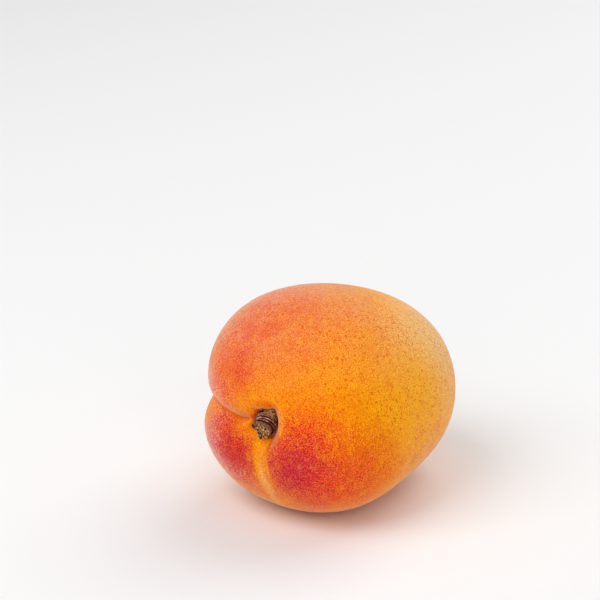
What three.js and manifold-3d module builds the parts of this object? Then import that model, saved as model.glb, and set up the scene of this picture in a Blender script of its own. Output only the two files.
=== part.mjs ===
// A whole apricot lying on its cheek: the fruit, its short stalk and the sleeve of bud scales on the stalk.
// Millimetres, +Z up. The origin is the middle of the small flat spot that the fruit rests on.
//
// The fruit is shaped in its own frame first: its core axis runs along Y with the stem end at -Y and the
// blossom tip at +Y, and its suture, the seam from the stem to the tip, runs along the -X side.
// The fruit is then tipped a little, stem end up, so that its weight lies over the flat spot.

import * as THREE from "three";
import { mergeVertices } from "three/addons/utils/BufferGeometryUtils.js";
import Module from "manifold-3d";

// ---- Driving dimensions ----

// Body
const HALF_LENGTH = 26.4; // stem end to tip, along the core axis
const HALF_WIDTH = 22.4; // from the suture side to the back
const HALF_HEIGHT = 21.7; // from cheek to cheek
const STEM_END_TAPER = 0.145; // how much broader the stem end is than the tip end
const FULLNESS = 0.3; // how blunt both ends are
const SHOULDER_THREE = 0.027; // slight three-sided roundness across the axis
const SHOULDER_THREE_AT = THREE.MathUtils.degToRad(-26);
const SHOULDER_FOUR = 0.026; // slight squareness across the axis
const SHEAR_TWO = 0.02; // slight diagonal flattening
const TIP_SHIFT_X = 0.65; // the tip sits a little off the axis
const TIP_SHIFT_Z = -1.15;

// Flattened patch low on the back
const FLANK_DEPTH = 1.45;
const FLANK_POLAR = THREE.MathUtils.degToRad(104); // from the stem end
const FLANK_ROUND = THREE.MathUtils.degToRad(-41.5); // about the axis, below the back
const FLANK_SPREAD = THREE.MathUtils.degToRad(36);

// Suture
const VALLEY_DEPTH = 1.45; // the broad dip that the seam lies in
const VALLEY_HALF_WIDTH = 6;
const VALLEY_FULL = 8; // this far from the axis the dip is at its full depth
const VALLEY_END = 1.2; // polar angle where the dip starts to fade
const VALLEY_FADE = 0.6;
const SEAM_DEPTH_STEM = 2.4; // extra depth of the sharp seam by the stem
const SEAM_DEPTH_ALONG = 0.7; // its depth all the way to the tip
const SEAM_REACH = 1; // polar angle over which the stem-end depth fades
const SEAM_HALF_WIDTH = 1.2;
const SEAM_FLARE = 0.4; // extra half width by the stem
const SEAM_ROUNDING = 0.15; // half width of the seam's rounded bottom
const SEAM_START = 0.8; // the seam starts this far from the axis
const SEAM_FULL = 4.5; // and is fully open this far from it
const SEAM_TIP_START = 2.55; // polar angle where the seam starts to run out
const SEAM_TIP_END = 3.02;
const LAP_HEIGHT = 0.45; // how far the upper cheek stands over the lower one at the seam
const LAP_WIDTH = 1.4;
const LAP_REACH = 5;
const SEAM_DROP = 2.1; // by the stem the seam runs a little below the middle of the suture side
const SEAM_DROP_REACH = 1;
const SEAM_DROP_WIDTH = 10;
const SEAM_DROP_FULL = 7.5; // this far from the axis it is full, and nearer it bends up to the stalk

// Cavity that the stalk stands in
const CAVITY_DEPTH = 5.2;
const CAVITY_RADIUS = 4.3;
const CAVITY_STEEPNESS = 4;
const CAVITY_NARROWING = 2.4; // the upper cheek swells over the stalk and narrows the cavity there
const CAVITY_NARROW_ROUND = THREE.MathUtils.degToRad(138);
const CAVITY_NARROW_STEEPNESS = 2;
const CAVITY_OPEN_ROUND = THREE.MathUtils.degToRad(250); // the wall slopes softly on this side
const CAVITY_OPEN_STEEPNESS = 2;

// Fold that runs from the cavity under the fruit
const FOLD_OFFSET = 3; // the fold runs down, this far to the back's side of the axis
const FOLD_BEND = 1.1; // and bows towards the suture's side
const FOLD_BEND_BELOW = 8;
const FOLD_BEND_REACH = 3.5;
const FOLD_DEPTH = 2;
const FOLD_HALF_WIDTH = 1.2;
const FOLD_ROUNDING = 0.35;
const FOLD_REACH = 10; // how far below the axis the fold fades
const FOLD_RIDGE_HEIGHT = 0.6;
const FOLD_RIDGE_OFFSET = 2.3; // the ridge runs beside it, on the suture's side
const FOLD_RIDGE_HALF_WIDTH = 1.1;

// Dimple at the blossom tip
const TIP_DIMPLE_DEPTH = 0.6;
const TIP_DIMPLE_RADIUS = 2.6;

// How the fruit lies
const PITCH = THREE.MathUtils.degToRad(6); // stem end up
const ROLL = THREE.MathUtils.degToRad(-1.6);
const FLAT_DEPTH = 0.15; // how deep the flat spot cuts into the round cheek

// Stalk
const STALK_ROOT = new THREE.Vector3(0.3, -21.2, 0.8); // on the cavity floor, in the fruit's frame
const STALK_TOWARDS = new THREE.Vector3(1, -4.1, -2.75).normalize();
const STALK_SUNK = 1.4; // length of root inside the flesh
const STALK_GAP = 0.3; // clearance to the flesh and to the bud scales
const NECK_RADIUS = 1.5;
const NECK_LENGTH = 1.8;
const CORE_RADIUS = 1.15;
const SLEEVE_LENGTH = 2;
const END_RADIUS = 1.85;
const END_LENGTH = 0.9;
const END_SHIFT = 0.6; // the torn end hangs over to one side
const END_SHIFT_ROUND = THREE.MathUtils.degToRad(193);
const END_JAG = 0.45; // how rough the torn end is

// Bud scales
const SCALE_RINGS = 4;
const SLEEVE_RADIUS = 2.2;
const SCALE_LIP = 0.28; // how far each scale's lip stands out

// Mesh density
const BODY_RINGS = 58;
const BODY_COLUMNS = 80;
const POLE_CROWDING = 0.72; // 0 spaces the rings evenly, near 1 crowds them at both ends
const SEAM_CROWDING = 1.9; // crowds the columns along the seam
const STALK_SIDES = 20;
const SLEEVE_SIDES = 28;
const SLEEVE_STEPS_PER_SCALE = 4;

// ---- Shape helpers ----

const wasm = await Module();
wasm.setup();

const AXIS = new THREE.Vector3(0, 0, 1);
const gaussian = (x) => Math.exp(-x * x);
const crease = (across, halfWidth, rounding) => Math.exp(-Math.hypot(across, rounding) / halfWidth);
const smoothstep = THREE.MathUtils.smoothstep;
const lerp = THREE.MathUtils.lerp;

/** A closed surface of rings from one pole to the other; pointAt(ring, column) gives a Vector3. */
function poleToPole(rings, columns, pointAt) {
  const positions = [...pointAt(0, 0)];
  for (let ring = 1; ring < rings; ring++) {
    for (let column = 0; column < columns; column++) positions.push(...pointAt(ring, column));
  }
  positions.push(...pointAt(rings, 0));
  const last = positions.length / 3 - 1;
  const at = (ring, column) => 1 + (ring - 1) * columns + (column % columns);
  const index = [];
  for (let column = 0; column < columns; column++) {
    index.push(0, at(1, column + 1), at(1, column));
    for (let ring = 1; ring < rings - 1; ring++) {
      index.push(at(ring, column), at(ring + 1, column + 1), at(ring + 1, column));
      index.push(at(ring, column), at(ring, column + 1), at(ring + 1, column + 1));
    }
    index.push(last, at(rings - 1, column), at(rings - 1, column + 1));
  }
  return indexedGeometry(positions, index);
}

/** A closed ring-shaped surface; pointAt(step, column) goes round the section and round the hole. */
function roundTheHole(steps, columns, pointAt) {
  const positions = [];
  for (let step = 0; step < steps; step++) {
    for (let column = 0; column < columns; column++) positions.push(...pointAt(step, column));
  }
  const at = (step, column) => (step % steps) * columns + (column % columns);
  const index = [];
  for (let step = 0; step < steps; step++) {
    for (let column = 0; column < columns; column++) {
      index.push(at(step, column), at(step + 1, column + 1), at(step + 1, column));
      index.push(at(step, column), at(step, column + 1), at(step + 1, column + 1));
    }
  }
  return indexedGeometry(positions, index);
}

function indexedGeometry(positions, index) {
  const geometry = new THREE.BufferGeometry();
  geometry.setAttribute("position", new THREE.Float32BufferAttribute(positions, 3));
  geometry.setIndex(index);
  return geometry;
}

/** The closed geometry as a solid that can be cut. */
function toSolid(geometry) {
  const bare = geometry.clone();
  bare.deleteAttribute("normal");
  bare.deleteAttribute("uv");
  const merged = mergeVertices(bare);
  return new wasm.Manifold(
    new wasm.Mesh({
      numProp: 3,
      vertProperties: merged.attributes.position.array,
      triVerts: new Uint32Array(merged.index.array),
    }),
  );
}

function fromSolid(solid) {
  const mesh = solid.getMesh();
  return indexedGeometry(mesh.vertProperties, [...mesh.triVerts]);
}

/** A named mesh with its own surface finish. */
function piece(name, geometry, color, roughness) {
  geometry.computeVertexNormals();
  const material = new THREE.MeshStandardMaterial({ color, roughness, metalness: 0 });
  const mesh = new THREE.Mesh(geometry, material);
  mesh.name = name;
  return mesh;
}

// ---- Fruit ----

/** Depth of the cavity at a distance from the axis. */
function cavityDepth(radius, round) {
  const narrowSide = smoothstep(Math.cos(round - CAVITY_NARROW_ROUND), -0.1, 0.75);
  const openSide = smoothstep(Math.cos(round - CAVITY_OPEN_ROUND), 0, 0.8);
  const reach = CAVITY_RADIUS - CAVITY_NARROWING * narrowSide;
  const closedSteepness = lerp(CAVITY_STEEPNESS, CAVITY_NARROW_STEEPNESS, narrowSide);
  const steepness = lerp(closedSteepness, CAVITY_OPEN_STEEPNESS, openSide);
  return CAVITY_DEPTH * Math.exp(-Math.pow(radius / reach, steepness));
}

/** How far the suture draws the skin in, at a signed distance across it. */
function sutureDepth(polar, across, behind) {
  const nearStem = gaussian(polar / SEAM_REACH);
  const fade = gaussian(Math.max(polar - VALLEY_END, 0) / VALLEY_FADE);
  const opening = Math.min(behind / VALLEY_FULL, 1);
  const valley = VALLEY_DEPTH * gaussian(across / VALLEY_HALF_WIDTH) * fade * opening;
  const tipFade = 1 - smoothstep(polar, SEAM_TIP_START, SEAM_TIP_END);
  const runOut = smoothstep(behind, SEAM_START, SEAM_FULL) * tipFade;
  const seamWidth = SEAM_HALF_WIDTH + SEAM_FLARE * nearStem;
  const seam = (SEAM_DEPTH_ALONG + SEAM_DEPTH_STEM * nearStem) * crease(across, seamWidth, SEAM_ROUNDING);
  const lap = LAP_HEIGHT * nearStem * Math.tanh(across / LAP_WIDTH) * gaussian(across / LAP_REACH);
  return valley + (seam - lap) * runOut;
}

/** How far the fold under the stem end draws the skin in; the ridge beside it stands out. */
function foldDepth(x, below) {
  const across = x - FOLD_OFFSET + FOLD_BEND * gaussian((below - FOLD_BEND_BELOW) / FOLD_BEND_REACH);
  const fade = smoothstep(below, 1, 4) * gaussian(below / FOLD_REACH);
  const groove = FOLD_DEPTH * crease(across, FOLD_HALF_WIDTH, FOLD_ROUNDING);
  const ridge = FOLD_RIDGE_HEIGHT * gaussian((across + FOLD_RIDGE_OFFSET) / FOLD_RIDGE_HALF_WIDTH);
  return (groove - ridge) * fade;
}

/** Depth of the flattened patch in an outward direction. */
function flankDepth(outward) {
  const middle = new THREE.Vector3(
    Math.sin(FLANK_POLAR) * Math.cos(FLANK_ROUND),
    -Math.cos(FLANK_POLAR),
    Math.sin(FLANK_POLAR) * Math.sin(FLANK_ROUND),
  );
  return FLANK_DEPTH * Math.exp(-(1 - outward.dot(middle)) / (1 - Math.cos(FLANK_SPREAD)));
}

/** A point of the skin, by its angle from the stem end and its angle about the axis from the back. */
function skinPoint(polar, round) {
  const c = Math.cos(polar);
  const s = Math.sin(polar);
  const girth = s * (1 + STEM_END_TAPER * c + FULLNESS * c * c);
  const uneven =
    SHOULDER_THREE * Math.cos(3 * (round - SHOULDER_THREE_AT)) -
    SHOULDER_FOUR * Math.cos(4 * round) -
    SHEAR_TWO * Math.sin(2 * round);
  const section = girth * (1 + uneven * s * s);
  const point = new THREE.Vector3(
    HALF_WIDTH * section * Math.cos(round),
    -HALF_LENGTH * c,
    HALF_HEIGHT * section * Math.sin(round),
  );
  const outward = new THREE.Vector3(s * Math.cos(round), -c, s * Math.sin(round));
  const radius = Math.hypot(point.x, point.z);
  let inset = flankDepth(outward);
  if (point.x < 0) inset += sutureDepth(polar, point.z, -point.x);
  if (c > 0) inset += foldDepth(point.x, -point.z);
  point.addScaledVector(outward, -inset);
  if (c > 0) point.y += cavityDepth(radius, round);
  else point.y -= TIP_DIMPLE_DEPTH * gaussian(radius / TIP_DIMPLE_RADIUS);
  const nearSeam = smoothstep(-point.x, 0, SEAM_DROP_FULL) * gaussian(point.z / SEAM_DROP_WIDTH);
  point.z -= SEAM_DROP * nearSeam * gaussian(polar / SEAM_DROP_REACH);
  const towardsTip = Math.pow((1 - c) / 2, 3);
  point.x += TIP_SHIFT_X * towardsTip;
  point.z += TIP_SHIFT_Z * towardsTip;
  return point;
}

/** The whole skin, with rings crowded at both ends and columns crowded along the seam. */
function skinGeometry() {
  return poleToPole(BODY_RINGS, BODY_COLUMNS, (ring, column) => {
    const along = ring / BODY_RINGS;
    const polar = Math.PI * along - (POLE_CROWDING / 2) * Math.sin(2 * Math.PI * along);
    const side = (2 * column) / BODY_COLUMNS - 1;
    const round = Math.PI * (1 - Math.sinh(SEAM_CROWDING * side) / Math.sinh(SEAM_CROWDING));
    return skinPoint(polar, round);
  });
}

/** The fruit lies with its stem end tipped up; its flat spot's middle is at the origin. */
function lyingMatrix(skin) {
  const turned = new THREE.Matrix4().makeRotationFromEuler(new THREE.Euler(-PITCH, -ROLL, 0, "XYZ"));
  const laid = skin.clone().applyMatrix4(turned);
  laid.computeBoundingBox();
  const flatHeight = laid.boundingBox.min.z + FLAT_DEPTH;
  const positions = laid.attributes.position;
  const middle = new THREE.Vector3();
  let below = 0;
  for (let i = 0; i < positions.count; i++) {
    if (positions.getZ(i) > flatHeight) continue;
    middle.x += positions.getX(i);
    middle.y += positions.getY(i);
    below += 1;
  }
  return turned.setPosition(-middle.x / below, -middle.y / below, -flatHeight);
}

/** The stepped round cutter that makes the hole for the stalk's root and keeps the bud scales clear. */
function stalkClearance() {
  const neck = NECK_RADIUS + STALK_GAP;
  const sleeve = SLEEVE_RADIUS + SCALE_LIP + STALK_GAP;
  const bottom = -STALK_SUNK - STALK_GAP;
  const top = NECK_LENGTH + SLEEVE_LENGTH + 2 * STALK_GAP;
  const profile = [
    new THREE.Vector2(0, bottom),
    new THREE.Vector2(neck, bottom),
    new THREE.Vector2(neck, NECK_LENGTH - STALK_GAP),
    new THREE.Vector2(sleeve, NECK_LENGTH),
    new THREE.Vector2(sleeve, top),
    new THREE.Vector2(0, top),
  ];
  return new THREE.LatheGeometry(profile, SLEEVE_SIDES).rotateX(Math.PI / 2);
}

/** Everything below the surface that the fruit rests on. */
function belowTheFlat() {
  const side = 3 * HALF_LENGTH;
  return new THREE.BoxGeometry(side, side, side).translate(0, 0, -side / 2);
}

// ---- Stalk ----

/** Wobble of a section round the stalk, from -1 to 1, the same every time. */
function wobble(turn, seed) {
  const broad = 0.5 * Math.sin(2 * turn + 1.7 * seed);
  const middling = 0.3 * Math.sin(3 * turn - 2.3 * seed);
  const fine = 0.2 * Math.sin(5 * turn + seed);
  return broad + middling + fine;
}

/** Radius and height of the stalk along its length, from the sunk root to the torn end. */
function stalkProfile() {
  const coreStart = NECK_LENGTH;
  const coreEnd = NECK_LENGTH + SLEEVE_LENGTH + 2 * STALK_GAP;
  const end = coreEnd + END_LENGTH;
  return [
    [0, -STALK_SUNK],
    [NECK_RADIUS, -STALK_SUNK],
    [NECK_RADIUS * 0.96, 0],
    [NECK_RADIUS * 0.94, 0.5 * coreStart],
    [NECK_RADIUS, coreStart - 0.2],
    [CORE_RADIUS, coreStart],
    [CORE_RADIUS, coreEnd],
    [END_RADIUS * 0.95, coreEnd + 0.1],
    [END_RADIUS, coreEnd + 0.5 * END_LENGTH],
    [END_RADIUS * 0.85, end],
    [END_RADIUS * 0.55, end - 0.15],
    [END_RADIUS * 0.28, end - 0.35],
    [0, end - 0.2],
  ];
}

function stalkGeometry() {
  const profile = stalkProfile();
  const overhang = new THREE.Vector3(END_SHIFT, 0, 0).applyAxisAngle(AXIS, END_SHIFT_ROUND);
  const coreEnd = NECK_LENGTH + SLEEVE_LENGTH + 2 * STALK_GAP;
  const torn = coreEnd + 0.3 * END_LENGTH;
  return poleToPole(profile.length - 1, STALK_SIDES, (ring, column) => {
    const [radius, height] = profile[ring];
    const turn = (2 * Math.PI * column) / STALK_SIDES;
    const rough = height > torn ? END_JAG * wobble(turn, ring) : 0;
    const wide = radius * (1 + (height > torn ? 0.16 * wobble(turn, 4) : 0));
    const point = new THREE.Vector3(wide * Math.cos(turn), wide * Math.sin(turn), height + rough);
    return height > coreEnd ? point.add(overhang) : point;
  });
}

/** The sleeve of overlapping bud scales: each scale's lip stands out over the next one. */
function budScalesGeometry() {
  const outerSteps = SCALE_RINGS * SLEEVE_STEPS_PER_SCALE + 1;
  const bore = CORE_RADIUS + STALK_GAP;
  const start = NECK_LENGTH + STALK_GAP;
  return roundTheHole(outerSteps + 2, SLEEVE_SIDES, (step, column) => {
    const turn = (2 * Math.PI * column) / SLEEVE_SIDES;
    if (step >= outerSteps) {
      const height = step === outerSteps ? start + SLEEVE_LENGTH : start;
      return new THREE.Vector3(bore * Math.cos(turn), bore * Math.sin(turn), height);
    }
    const along = step / (outerSteps - 1);
    const scale = Math.min(Math.floor(along * SCALE_RINGS), SCALE_RINGS - 1);
    const within = along * SCALE_RINGS - scale;
    const lip = SCALE_LIP * Math.pow(within, 1.5);
    const barrel = 1 - 0.14 * Math.pow(2 * along - 1, 2);
    const radius = SLEEVE_RADIUS * barrel + lip + 0.08 * wobble(turn, scale);
    return new THREE.Vector3(radius * Math.cos(turn), radius * Math.sin(turn), start + along * SLEEVE_LENGTH);
  });
}

// ---- Assembly ----

const apricot = new THREE.Group();

const skin = skinGeometry();
const lying = lyingMatrix(skin);

const stalk = new THREE.Group();
stalk.position.copy(STALK_ROOT).applyMatrix4(lying);
stalk.quaternion.setFromUnitVectors(
  new THREE.Vector3(0, 0, 1),
  STALK_TOWARDS.clone().transformDirection(lying),
);
stalk.updateMatrix();
stalk.add(piece("stem", stalkGeometry(), 0x8a6f3c, 0.8));
stalk.add(piece("bud_scales", budScalesGeometry(), 0x4a2a2c, 0.7));
apricot.add(stalk);

const flesh = toSolid(skin.clone().applyMatrix4(lying))
  .subtract(toSolid(belowTheFlat()))
  .subtract(toSolid(stalkClearance().applyMatrix4(stalk.matrix)));
apricot.add(piece("fruit", fromSolid(flesh), 0xf29a2e, 0.65));

export default apricot;
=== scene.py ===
"""A ripe apricot lying on its cheek, with its short stalk and the ring of bud scales on the stalk.

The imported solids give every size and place, and this script dresses them: the skin is a finer copy of the
fruit's own solid, and the stalk and the bud scales are modelled anew in their places. Objects are in
metres. Sizes on the fruit are in millimetres, as their names or the classes that hold them say.
"""

import logging
import math
from collections.abc import Callable, Iterator
from contextlib import contextmanager
from dataclasses import dataclass, field
from enum import Enum

import bpy
import numpy as np
from mathutils import Euler, Matrix, Vector


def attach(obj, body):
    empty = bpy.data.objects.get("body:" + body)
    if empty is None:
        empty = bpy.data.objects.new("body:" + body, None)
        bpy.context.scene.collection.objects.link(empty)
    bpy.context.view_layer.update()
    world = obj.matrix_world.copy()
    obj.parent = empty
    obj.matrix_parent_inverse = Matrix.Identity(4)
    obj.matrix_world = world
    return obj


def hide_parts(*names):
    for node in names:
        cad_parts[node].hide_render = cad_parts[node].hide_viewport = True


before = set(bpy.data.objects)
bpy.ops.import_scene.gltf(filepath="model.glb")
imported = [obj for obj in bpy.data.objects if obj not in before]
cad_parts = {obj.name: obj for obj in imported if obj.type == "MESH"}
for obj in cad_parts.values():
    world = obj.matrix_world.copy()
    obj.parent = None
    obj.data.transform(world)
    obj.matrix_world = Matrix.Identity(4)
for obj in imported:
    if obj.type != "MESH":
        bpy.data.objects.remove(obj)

log = logging.getLogger("apricot")

MM = 0.001
WELD = 1e-6  # points nearer than this are one, in metres
HAIR = 1e-5  # a distance too small to matter on the fruit, in metres
BODY = "root"

Triple = tuple[float, float, float]

# A soft step for NodeBench.graded: where it starts and ends, and, if not 0 and 1, what it gives there.
Ramp = tuple[float, ...]

# A straight step for rising: where it is 0, and how far from there it is 1, below 0 for backwards.
Rise = tuple[float, float]


class Slot(Enum):
    """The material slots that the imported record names."""

    SKIN = "skin"
    STALK_WOOD = "stalk_wood"
    SCALE_BARK = "scale_bark"


class Node(Enum):
    """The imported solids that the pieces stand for."""

    FRUIT = "fruit"
    STEM = "stem"
    BUD_SCALES = "bud_scales"


# ---- Work by hand on a mesh ----


def only(piece: bpy.types.Object) -> None:
    """Selects one object, makes it active and lets go of all others.

    Args:
        piece: The object to work on.
    """
    bpy.ops.object.select_all(action="DESELECT")
    piece.select_set(True)
    bpy.context.view_layer.objects.active = piece


@contextmanager
def editing(piece: bpy.types.Object) -> Iterator[None]:
    """Opens an object in edit mode for a block of steps, and closes it after them.

    Args:
        piece: The object to edit.
    """
    only(piece)
    bpy.ops.object.mode_set(mode="EDIT")
    bpy.ops.mesh.select_mode(type="VERT")
    yield
    bpy.ops.object.mode_set(mode="OBJECT")


def pick(piece: bpy.types.Object, inside: Callable[[np.ndarray], np.ndarray]) -> None:
    """Selects, in object mode, the points of a mesh for which a test is true.

    Args:
        piece: The mesh object.
        inside: Takes all points as rows of x, y, z and gives a row of booleans.
    """
    mesh = piece.data
    chosen = inside(points_of(piece))
    mesh.vertices.foreach_set("select", chosen)
    mesh.edges.foreach_set("select", np.zeros(len(mesh.edges), bool))
    mesh.polygons.foreach_set("select", np.zeros(len(mesh.polygons), bool))


def points_of(piece: bpy.types.Object) -> np.ndarray:
    """Gives all points of a mesh as rows of x, y, z.

    Args:
        piece: The mesh object.

    Returns:
        An array with one row for each point.
    """
    flat = np.empty(len(piece.data.vertices) * 3)
    piece.data.vertices.foreach_get("co", flat)
    return flat.reshape(-1, 3)


def put_points(piece: bpy.types.Object, points: np.ndarray) -> None:
    """Moves all points of a mesh to new places, given as rows of x, y, z."""
    piece.data.vertices.foreach_set("co", np.ascontiguousarray(points).ravel())
    piece.data.update()


def normals_of(piece: bpy.types.Object) -> np.ndarray:
    """Gives the normals of all points of a mesh as rows of x, y, z.

    Args:
        piece: The mesh object.

    Returns:
        An array with one row for each point.
    """
    flat = np.empty(len(piece.data.vertices) * 3)
    piece.data.vertex_normals.foreach_get("vector", flat)
    return flat.reshape(-1, 3)


def rising(values: np.ndarray, start: float, length: float) -> np.ndarray:
    """Gives 0 up to a start, 1 from a length beyond it, and a straight rise between them."""
    return np.clip((values - start) / length, 0, 1)


def store(piece: bpy.types.Object, name: str, values: np.ndarray) -> None:
    """Keeps a number for each point of a mesh under a name, for its finish to read."""
    attribute = piece.data.attributes.new(name, "FLOAT", "POINT")
    attribute.data.foreach_set("value", np.ascontiguousarray(values, np.float32))


def subdivided(piece: bpy.types.Object, levels: int) -> None:
    """Rounds a mesh with a Subdivision Surface modifier and applies it.

    Args:
        piece: The mesh object.
        levels: How many times each face is split.
    """
    only(piece)
    modifier = piece.modifiers.new("rounding", "SUBSURF")
    modifier.levels = modifier.render_levels = levels
    bpy.ops.object.modifier_apply(modifier=modifier.name)


def roughened(piece: bpy.types.Object, grain: float, height: float, depth: int = 2,
              group: str = "") -> None:
    """Gives a surface small humps and hollows with a Displace modifier and applies it.

    Args:
        piece: The mesh object.
        grain: Size of the humps, in metres.
        height: From the deepest hollow to the highest hump, in metres.
        depth: How many finer sizes of humps ride on the first.
        group: A vertex group that holds the humps back, or nothing.
    """
    only(piece)
    texture = bpy.data.textures.new(piece.name + "_humps", "CLOUDS")
    texture.noise_scale = grain
    texture.noise_depth = depth
    modifier = piece.modifiers.new("humps", "DISPLACE")
    modifier.texture = texture
    modifier.texture_coords = "LOCAL"
    modifier.strength = height
    modifier.mid_level = 0.5
    modifier.vertex_group = group
    bpy.ops.object.modifier_apply(modifier=modifier.name)


def turned(name: str, profile: list[tuple[float, float]], sides: int, ring: bool) -> bpy.types.Object:
    """Turns a profile about the Z axis by raising and widening a circle, step by step.

    Args:
        name: Name of the new object.
        profile: Radius and height of each step, in metres.
        sides: Number of points round the axis.
        ring: True for a ring with a hole, whose profile comes back to its first step.

    Returns:
        The new object, open in no mode, with its faces out.
    """
    bpy.ops.object.select_all(action="DESELECT")
    radius, height = profile[0]
    fill = "NOTHING" if ring else "NGON"
    bpy.ops.mesh.primitive_circle_add(vertices=sides, radius=radius, fill_type=fill,
                                      location=(0, 0, height))
    bpy.ops.object.transform_apply()
    piece = bpy.context.object
    piece.name = piece.data.name = name
    bpy.ops.object.mode_set(mode="EDIT")
    bpy.ops.mesh.select_mode(type="VERT")
    for next_radius, next_height in profile[1:] + profile[:1] * ring:
        rise = (0, 0, next_height - height)
        bpy.ops.mesh.extrude_region_move(TRANSFORM_OT_translate={"value": rise})
        ratio = next_radius / radius
        bpy.ops.transform.resize(value=(ratio, ratio, 1), center_override=(0, 0, next_height))
        radius, height = next_radius, next_height
    bpy.ops.mesh.select_all(action="SELECT")
    bpy.ops.mesh.remove_doubles(threshold=WELD)
    bpy.ops.mesh.normals_make_consistent(inside=False)
    bpy.ops.object.mode_set(mode="OBJECT")
    return piece


def settled(piece: bpy.types.Object, place: Matrix) -> None:
    """Puts a piece made about the origin in its place, and moves that place into its mesh.

    Args:
        piece: The object.
        place: Where its own axes go.
    """
    only(piece)
    piece.matrix_world = place
    bpy.ops.object.transform_apply()


def smooth_shaded(piece: bpy.types.Object) -> None:
    """Shades a piece smooth all over."""
    only(piece)
    bpy.ops.object.shade_smooth()


# ---- Finishes ----


class NodeBench:
    """A new material with short ways to add the nodes that the finishes use.

    Positions in it are in millimetres of the object's own coordinates.
    """

    MIX_AMOUNT, MIX_BELOW, MIX_ABOVE, MIX_RESULT = 0, 6, 7, 2  # a Mix node's sockets for colours

    def __init__(self, name: str) -> None:
        """Makes the material.

        Args:
            name: Name of the material.
        """
        self.material = bpy.data.materials.new(name)
        self.material.use_nodes = True
        self.nodes = self.material.node_tree.nodes
        self.links = self.material.node_tree.links
        self.shader = self.nodes["Principled BSDF"]
        coordinates = self.nodes.new("ShaderNodeTexCoord").outputs["Object"]
        inputs = {"Vector": coordinates, "Scale": (1 / MM,) * 3}
        self.place = self.node("ShaderNodeMapping", inputs).outputs[0]

    def node(self, kind: str, inputs: dict, **settings: object) -> bpy.types.Node:
        """Adds a node.

        Args:
            kind: Blender's name of the node's type.
            inputs: For each input, by name or number, a socket to link or a value to set.
            settings: Properties of the node itself.

        Returns:
            The node.
        """
        made = self.nodes.new(kind)
        for name, value in settings.items():
            setattr(made, name, value)
        for name, value in inputs.items():
            if isinstance(value, bpy.types.NodeSocket):
                self.links.new(value, made.inputs[name])
            else:
                made.inputs[name].default_value = value
        return made

    def math(self, operation: str, first: object, second: object = 0.0) -> bpy.types.NodeSocket:
        """Gives the result of a sum on one or two numbers or sockets."""
        return self.node("ShaderNodeMath", {0: first, 1: second}, operation=operation).outputs[0]

    def vector(self, operation: str, first: object, second: object = (0, 0, 0)) -> bpy.types.NodeSocket:
        """Gives the result of a sum on one or two vectors or sockets."""
        return self.node("ShaderNodeVectorMath", {0: first, 1: second}, operation=operation).outputs[0]

    def noise(self, size: float, detail: float = 3.0, roughness: float = 0.6, where: object = None,
              output: str = "Fac") -> bpy.types.NodeSocket:
        """Gives a soft noise from 0 to 1, its humps a size in millimetres, as one number or as Color."""
        inputs = {"Vector": where or self.place, "Scale": 1 / size, "Detail": detail,
                  "Roughness": roughness}
        return self.node("ShaderNodeTexNoise", inputs).outputs[output]

    def cells(self, size: float) -> bpy.types.Node:
        """Gives dots a size apart: their Distance is in cell widths, and their Color differs by dot."""
        return self.node("ShaderNodeTexVoronoi", {"Vector": self.place, "Scale": 1 / size})

    def graded(self, value: object, low: float, high: float, at_low: float = 0.0,
               at_high: float = 1.0, kind: str = "SMOOTHSTEP") -> bpy.types.NodeSocket:
        """Maps a number so that low gives at_low and high gives at_high, and holds it beyond them."""
        inputs = {0: value, 1: low, 2: high, 3: at_low, 4: at_high}
        return self.node("ShaderNodeMapRange", inputs, interpolation_type=kind).outputs[0]

    def mixed(self, amount: object, below: object, above: object,
              way: str = "MIX") -> bpy.types.NodeSocket:
        """Lays one colour over another.

        Args:
            amount: How much of the upper colour shows, a number or socket.
            below: The lower colour or socket.
            above: The upper colour or socket.
            way: Blend type.

        Returns:
            The mixed colour's socket.
        """
        made = self.nodes.new("ShaderNodeMix")
        made.data_type, made.blend_type, made.clamp_factor = "RGBA", way, True
        for number, value in ((self.MIX_AMOUNT, amount), (self.MIX_BELOW, below), (self.MIX_ABOVE, above)):
            if isinstance(value, bpy.types.NodeSocket):
                self.links.new(value, made.inputs[number])
            else:
                made.inputs[number].default_value = value if number == self.MIX_AMOUNT else (*value, 1.0)
        return made.outputs[self.MIX_RESULT]

    def rest_of(self, mask: bpy.types.NodeSocket) -> bpy.types.NodeSocket:
        """Gives what is left of 1 where a mask is taken away."""
        return self.math("SUBTRACT", 1.0, mask)

    def kept(self, name: str) -> bpy.types.NodeSocket:
        """Gives the number that the mesh keeps for each point under a name."""
        return self.node("ShaderNodeAttribute", {}, attribute_name=name).outputs["Fac"]

    def toned(self, below: object, name: str, ramp: Ramp, above: Triple) -> bpy.types.NodeSocket:
        """Lays one colour over another by the number that the mesh keeps under a name."""
        return self.mixed(self.graded(self.kept(name), *ramp), below, above)

    def bumped(self, height: object, distance_mm: float, strength: float,
               under: object = None) -> bpy.types.NodeSocket:
        """Gives a normal that a height pushes in and out.

        Args:
            height: The height's socket, from 0 to 1.
            distance_mm: What a height of 1 stands for.
            strength: How much of it is used.
            under: A normal that this one lies over, or None.

        Returns:
            The normal's socket.
        """
        inputs = {"Height": height, "Distance": distance_mm * MM, "Strength": strength}
        if under is not None:
            inputs["Normal"] = under
        return self.node("ShaderNodeBump", inputs).outputs[0]

    def finished(self, colour: bpy.types.NodeSocket, normal: bpy.types.NodeSocket,
                 constants: dict[str, object]) -> bpy.types.Material:
        """Links the colour and the normal, and sets the shader's constants.

        Args:
            colour: The colour's socket.
            normal: The normal's socket.
            constants: For each other input of the shader, by name, its value.

        Returns:
            The material.
        """
        self.links.new(colour, self.shader.inputs["Base Color"])
        self.links.new(normal, self.shader.inputs["Normal"])
        for name, value in constants.items():
            self.shader.inputs[name].default_value = value
        return self.material


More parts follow.
